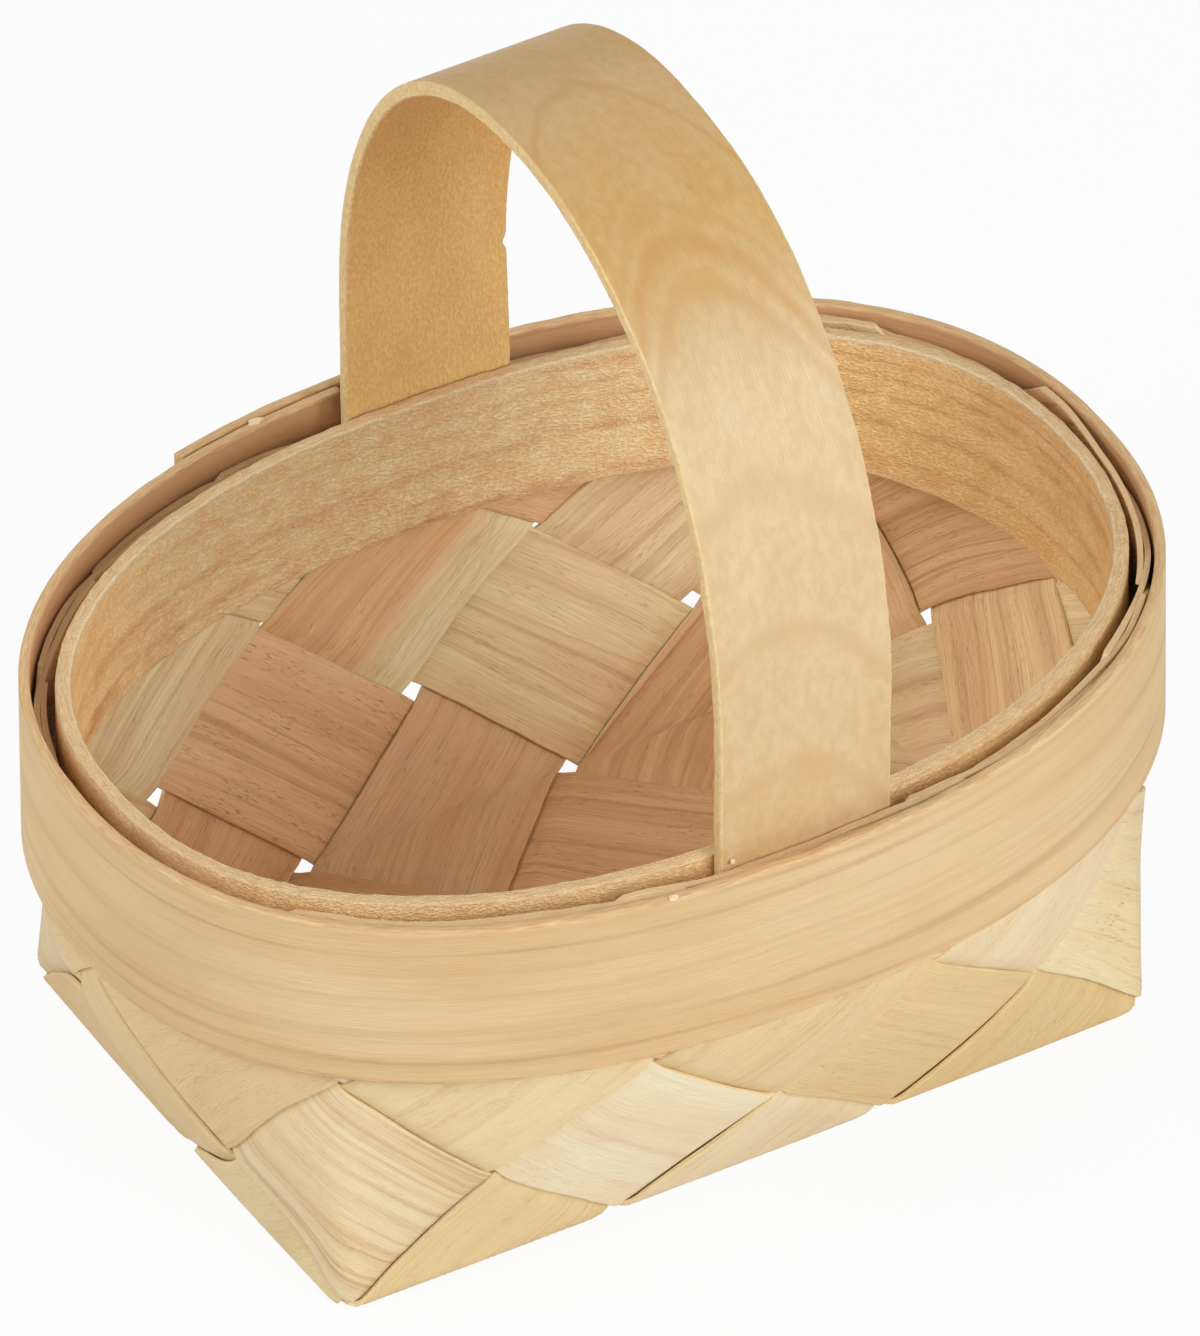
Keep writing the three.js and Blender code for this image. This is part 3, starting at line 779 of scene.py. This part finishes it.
def handle_wood():
    """Smooth face with the tops of a few growth rings across it, and a furry orange inside. The
    inside is painted darker and redder as painted shade on the near leg and the bow
    """
    material, place, edge, outer = wood_parts("handle")
    along = place.part(0)
    across = place.part(1)
    sway = place.stretched(12, 7, 9).noise(3, 0.6) - 0.5
    hollow = handle_leg_hollow + along.between(58, 84) * (handle_bow_hollow - handle_leg_hollow)
    arched = along + across * across * hollow - across * handle_bow_slant + sway * 8
    mottle = place.stretched(1.9, 1.2, 3).noise(3, 0.65).between(0.34, 0.66)
    cloud = place.stretched(16, 6, 12).noise(3).between(0.3, 0.7)
    fibres = place.stretched(5, 0.25, 0.3).noise(2, 0.6).between(0.3, 0.7)
    fur = place.stretched(0.8, 0.4, 0.5).noise(2, 0.7).between(0.34, 0.66)
    rings = sum(arched.near(middle, reach) * strength for middle, reach, strength in ring_arches)
    rings = rings * (0.3 + mottle * 0.7)
    honey = along.between(76, 100) * (1 - along.between(190, 210)) + (1 - along.between(24, 52)) * 0.4
    base = (honey * 0.7 + cloud * 0.22).mixed(paint("d8c198"), paint("cca361"))
    ringed = (rings * 0.52).mixed(base, paint("bf8844"))
    mottled = ((1 - mottle) * 0.16).mixed(ringed, paint("cf9f66"), "MULTIPLY")
    fibred = ((1 - fibres) * 0.03).mixed(mottled, paint("c9a078"), "MULTIPLY")
    knot = along.near(knot_place[0], knot_size[0]) * across.near(knot_place[1], knot_size[1]) * mottle
    knotted = (knot * 0.6).mixed(fibred, paint("b5793c"))
    # Painted shade: the inside is painted darker and redder up the near leg and under the bow.
    inside_painted_shade = (1 - along.between(165, 205)) * 0.3
    rough = ((1 - fur) * 0.3 + cloud * 0.12 + inside_painted_shade).mixed(paint("f8d48c"), paint("d09052"))
    faced = outer.between(0.2, 0.4).mixed(rough, knotted)
    cut = (edge * 0.8).mixed(faced, fur.mixed(paint("dcbb80"), paint("ead09a")))
    relief = (1 - outer.between(0.2, 0.4)) * fur + fibres * 0.3
    return finish_wood(material, cut, 0.42 + (1 - outer) * 0.25 + fibres * 0.12, relief, 0.08)


def handle():
    half = leg_oval.half_y
    rise = handle_high[2] - handle_thickness / 2 - handle_shoulder
    leg_z = np.linspace(handle_low[2], handle_shoulder, handle_leg_steps, endpoint=False)
    turn = np.linspace(0, math.pi, handle_bow_steps)
    power = 2 / handle_round
    arch_y = -half * np.sign(np.cos(turn)) * np.abs(np.cos(turn)) ** power
    arch_z = handle_shoulder + rise * np.abs(np.sin(turn)) ** power
    leg_y = np.full(handle_leg_steps, half)
    path_y = np.concatenate([-leg_y, arch_y, leg_y])
    path_z = np.concatenate([leg_z, arch_z, leg_z[::-1]])
    walked = np.concatenate([[0.0], np.cumsum(np.hypot(np.diff(path_y), np.diff(path_z)))])
    even = np.linspace(0, walked[-1], handle_rings)
    path_y = np.interp(even, walked, path_y)
    path_z = np.interp(even, walked, path_z)
    run_y = np.gradient(path_y)
    run_z = np.gradient(path_z)
    run = np.hypot(run_y, run_z)
    out_y, out_z = -run_z / run, run_y / run
    side = path_y / half
    width = handle_width_near + (handle_width_far - handle_width_near) * (side + 1) / 2
    hollow = 1 - eased(np.clip((path_z - rim_height) / handle_flatten, 0, 1))
    across, out = strip_section(handle_width_near, handle_thickness, handle_corner, handle_columns)
    reach = (width / handle_width_near)[:, None] * across
    out_to_side = np.clip(np.abs(across) / (handle_width_near / 2), 0, 1)
    at_side = out_to_side**handle_side_power * np.sign(across)
    rough = waves(even, rim_seed, *handle_side_waves)
    nick = nick_depth * np.exp(-((even - nick_place) / nick_width) ** 2)
    reach = reach + at_side * rough[:, None] - np.maximum(at_side, 0) * nick[:, None]
    x = (handle_shift + handle_skew * side)[:, None] + reach
    bend = (leg_oval.far(x) - half) * (hollow * np.sign(path_y))[:, None]
    y = path_y[:, None] + bend + out_y[:, None] * out
    z = path_z[:, None] + out_z[:, None] * out
    rings = np.concatenate([on_rim(np.stack([x, y], -1)), z[..., None]], -1)
    depth = np.broadcast_to(out, x.shape)
    along = np.broadcast_to(even[:, None], x.shape)
    grain = np.stack([along, np.broadcast_to(across, x.shape), depth], -1)
    on_edge = np.abs(across) > handle_width_near / 2 - handle_corner * handle_sawn_share
    edge = np.broadcast_to(on_edge.astype(float), x.shape)
    outer = np.clip(0.5 + depth / handle_thickness, 0, 1)
    piece = strip_object("handle_strap", rings, grain, edge, outer, handle_wood())
    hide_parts("handle")
    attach(piece, "root")


handle()

# Splinters: fine fibres that the saw raised along the upper edges of the hoops. Each stays
# fast at its root and curls off into the air.
splinter_count = 240
splinter_inner_share = 0.7  # of them on the inner hoop
splinter_length = (0.5, 2.2)
splinter_short = (0.5, 1)  # share of that length
splinter_thickness = (0.05, 0.13)
splinter_taper = 0.85
splinter_inset = 0.15  # of their roots from the hoops' faces
splinter_inner_root = 0.45  # below the hoops' tops
splinter_outer_root = 0.5
splinter_away = (0.1, 0.5)  # how far they curl off sideways and upward, per length
splinter_rise = (-0.1, 0.45)
splinter_curl = (0.3, 1)
splinter_sides = 3
splinter_rows = 5
splinter_seed = 7


def trim_piece(name, work, material):
    """A piece of trim from the faces made so far, which rides and is finished like the hoops"""
    mesh = bpy.data.meshes.new(name)
    work.to_mesh(mesh)
    work.free()
    piece = add_piece(name, mesh, material)
    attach(piece, "root")


def splinter_wood():
    """Plain pale fibres. Here places are in metres."""
    material, start = new_material("splinter")
    place = start.node("TexCoord", None, None, "Object")
    colour = place.stretched(0.004, 0.004, 0.004).noise(2).mixed(paint("e6c892"), paint("cfa06a"))
    grey = colour.node("RGBToBW", None, {0: colour})
    relief = place.stretched(0.0005, 0.0005, 0.0005).noise(1)
    return finish_wood(material, colour, 0.6 + grey * 0.1, relief, 0.01)


def splinters():
    draw = np.random.RandomState(splinter_seed)
    work = bmesh.new()
    turns = np.linspace(0, 2 * math.pi, splinter_sides, endpoint=False)
    upward = np.array([0, 0, 1])
    for i in range(splinter_count):
        on_inner = draw.rand() < splinter_inner_share
        oval = inner_oval if on_inner else plait_oval
        fraction = draw.rand()
        length = draw.uniform(*splinter_length) * draw.uniform(*splinter_short)
        thickness = draw.uniform(*splinter_thickness)
        if on_inner:
            stand_off = splinter_inset - inner_hoop_thickness / 2
            height = inner_hoop_top - splinter_inner_root
        else:
            inset = outer_hoop_thickness / 2 - splinter_inset
            stand_off = outer_stand_off + inset * draw.choice([-1, 1])
            height = rim_height - splinter_outer_root
        outward = oval.outward(fraction)
        root = np.append(oval.at(fraction) + outward * stand_off, height)
        run = np.array([-outward[1], outward[0], 0]) * draw.choice([-1, 1])
        away = np.append(outward * np.sign(stand_off), 0) * draw.uniform(*splinter_away)
        rise = np.array([0, 0, draw.uniform(*splinter_rise)])
        curl = (away + rise) * draw.uniform(*splinter_curl)
        across = np.append(outward, 0)
        ring = [math.cos(turn) * across + math.sin(turn) * upward for turn in turns]
        rows = []
        for share in np.linspace(0, 1, splinter_rows):
            centre = root + length * (run * share + curl * share**2)
            size = thickness * (1 - splinter_taper * share) / 2
            corners = [centre + size * corner for corner in ring]
            placed = [np.append(on_rim(corner[:2]), corner[2]) for corner in corners]
            rows.append([work.verts.new(corner / mm_per_metre) for corner in placed])
        for low, high in zip(rows, rows[1:]):
            for j in range(splinter_sides):
                after = (j + 1) % splinter_sides
                work.faces.new([low[j], low[after], high[after], high[j]])
        work.faces.new(rows[0])
        work.faces.new(rows[-1])
    bmesh.ops.recalc_face_normals(work, faces=work.faces)
    trim_piece("rim_splinters", work, splinter_wood())


splinters()

# Glue: small drops that were squeezed out between the hoops, the splints and the handle when they
# were glued and clamped. They set hard on the rim.
glue_drops = (  # the place of each and its half length, width and height
    ((-16.4, 49.0, 54.1), (1.0, 0.55, 0.35)),
    ((-18.1, -50.3, 54.0), (0.6, 0.4, 0.3)),
    ((-9.0, -48.2, 54.0), (0.3, 0.3, 0.3)),
)
glue_unevenness = 0.2
glue_turns = (3, 5)  # how fast it varies along a drop and across it


def glue_finish():
    """Pale, clouded and smoother than the wood. Here places are in metres."""
    material, start = new_material("glue")
    place = start.node("TexCoord", None, None, "Object").stretched(0.0006, 0.0006, 0.0006)
    cloud = place.noise(2)
    colour = cloud.mixed(paint("f2e2c2"), paint("e0c08c"))
    return finish_wood(material, colour, 0.2 + cloud * 0.15, cloud, 0.02)


def glue():
    work = bmesh.new()
    for place, size in glue_drops:
        made = bmesh.ops.create_icosphere(work, subdivisions=3, radius=1)
        for vert in made["verts"]:
            turn = glue_turns[0] * vert.co.x + glue_turns[1] * vert.co.y
            swell = 1 + glue_unevenness * math.sin(turn)
            vert.co = [(place[i] + vert.co[i] * size[i] * swell) / mm_per_metre for i in range(3)]
    for face in work.faces:
        face.smooth = True
    trim_piece("glue_drops", work, glue_finish())


glue()

# Table: a seamless white sheet under the basket. The camera sees it almost plain white with a faint
# soft shadow, and it lights the basket from below as a real sheet does.
table_half = 2.0
table_white = 0.92  # how far it is drawn plain white where the camera sees it
table_grey = (0.9, 0.9, 0.9, 1)
white = (1, 1, 1, 1)


def seen_rays(tree):
    """1 on what the camera sees itself, in a mirror or through glass"""
    start = Tone(tree)
    seen = start.node("LightPath", None, None, "Is Camera Ray")
    for kind in ("Is Glossy Ray", "Is Transmission Ray"):
        seen = seen.math("MAXIMUM", seen, start.node("LightPath", None, None, kind))
    return seen


sheet, start = new_material("white_sheet")
start.tree.nodes.clear()
seen = seen_rays(start.tree)
matt = seen.node("BsdfDiffuse", None, {"Color": table_grey})
bright = seen.node("Emission", None, {"Color": white, "Strength": 1.0})
surface = seen.node("MixShader", None, {0: seen * table_white, 1: matt, 2: bright})
surface.node("OutputMaterial", None, {"Surface": surface})

table_mesh = bpy.data.meshes.new("table")
table_corners = [(x * table_half, y * table_half, 0) for x, y in ((-1, -1), (1, -1), (1, 1), (-1, 1))]
table_mesh.from_pydata(table_corners, [], [(0, 1, 2, 3)])
table = add_piece("table", table_mesh, sheet)

# Light: two large soft lamps, one at the left end and one in front, a weak one behind, and a
# white room round the table.
room_strength = 0.19
lamp_distance = 1.2
lamp_size = 0.8
lamp_aim = Vector((0, 0, 0.05))

world = bpy.data.worlds.new("white_room")
world.use_nodes = True
world.node_tree.nodes.clear()
seen = seen_rays(world.node_tree)
room = seen.node("Background", None, {"Color": white, "Strength": room_strength})
backdrop = seen.node("Background", None, {"Color": white, "Strength": 1.0})
surround = seen.node("MixShader", None, {0: seen, 1: room, 2: backdrop})
surround.node("OutputWorld", None, {"Surface": surround})
bpy.context.scene.world = world


def toward(azimuth, elevation):
    """The direction from the basket to something at that bearing and height, in radians"""
    flat = math.cos(elevation)
    return Vector((math.sin(azimuth) * flat, -math.cos(azimuth) * flat, math.sin(elevation)))


def lamp(name, azimuth, elevation, watts):
    light = bpy.data.lights.new(name, "AREA")
    light.size = lamp_size
    light.energy = watts
    holder = bpy.data.objects.new(name, light)
    bpy.context.scene.collection.objects.link(holder)
    direction = toward(math.radians(azimuth), math.radians(elevation))
    holder.location = lamp_aim + direction * lamp_distance
    holder.rotation_euler = direction.to_track_quat("Z", "Y").to_euler()


lamp("left_lamp", -100, 35, 8.2)
lamp("front_lamp", 10, 30, 11.4)
lamp("back_lamp", 145, 42, 2.6)

# Camera: far off with a long lens, so that the basket's edges stay almost parallel. It looks down
# into the basket from the near side, a little from the left.
camera_azimuth = math.radians(-29.873)
camera_elevation = math.radians(39.554)
camera_roll = math.radians(-0.487)
camera_distance = 5.0
camera_sensor = 36.0
picture_width = 1200
picture_height = 1336
pixels_per_mm = 8.641
aim_height = 46.0  # of a place over the base's middle, which the picture shows at these pixels
aim_pixel_x = 586.5
aim_pixel_y = 688.1

back = toward(camera_azimuth, camera_elevation)
level = Vector((math.cos(camera_azimuth), math.sin(camera_azimuth), 0))
upright = back.cross(level)
right = math.cos(camera_roll) * level + math.sin(camera_roll) * upright
up = math.cos(camera_roll) * upright - math.sin(camera_roll) * level
aim_right = (picture_width / 2 - aim_pixel_x) / pixels_per_mm
aim_up = (aim_pixel_y - picture_height / 2) / pixels_per_mm
aim = Vector((*base_centre, aim_height)) + aim_right * right + aim_up * up
camera = bpy.data.objects.new("camera", bpy.data.cameras.new("camera"))
bpy.context.scene.collection.objects.link(camera)
camera.matrix_world = Matrix((right, up, back)).transposed().to_4x4()
camera.location = aim / mm_per_metre + back * camera_distance
camera.data.sensor_width = camera_sensor
camera.data.lens = pixels_per_mm * mm_per_metre * camera_distance / picture_height * camera_sensor
camera.data.clip_start = 0.1
camera.data.clip_end = 50
bpy.context.scene.camera = camera
bpy.context.scene.view_settings.view_transform = "Standard"
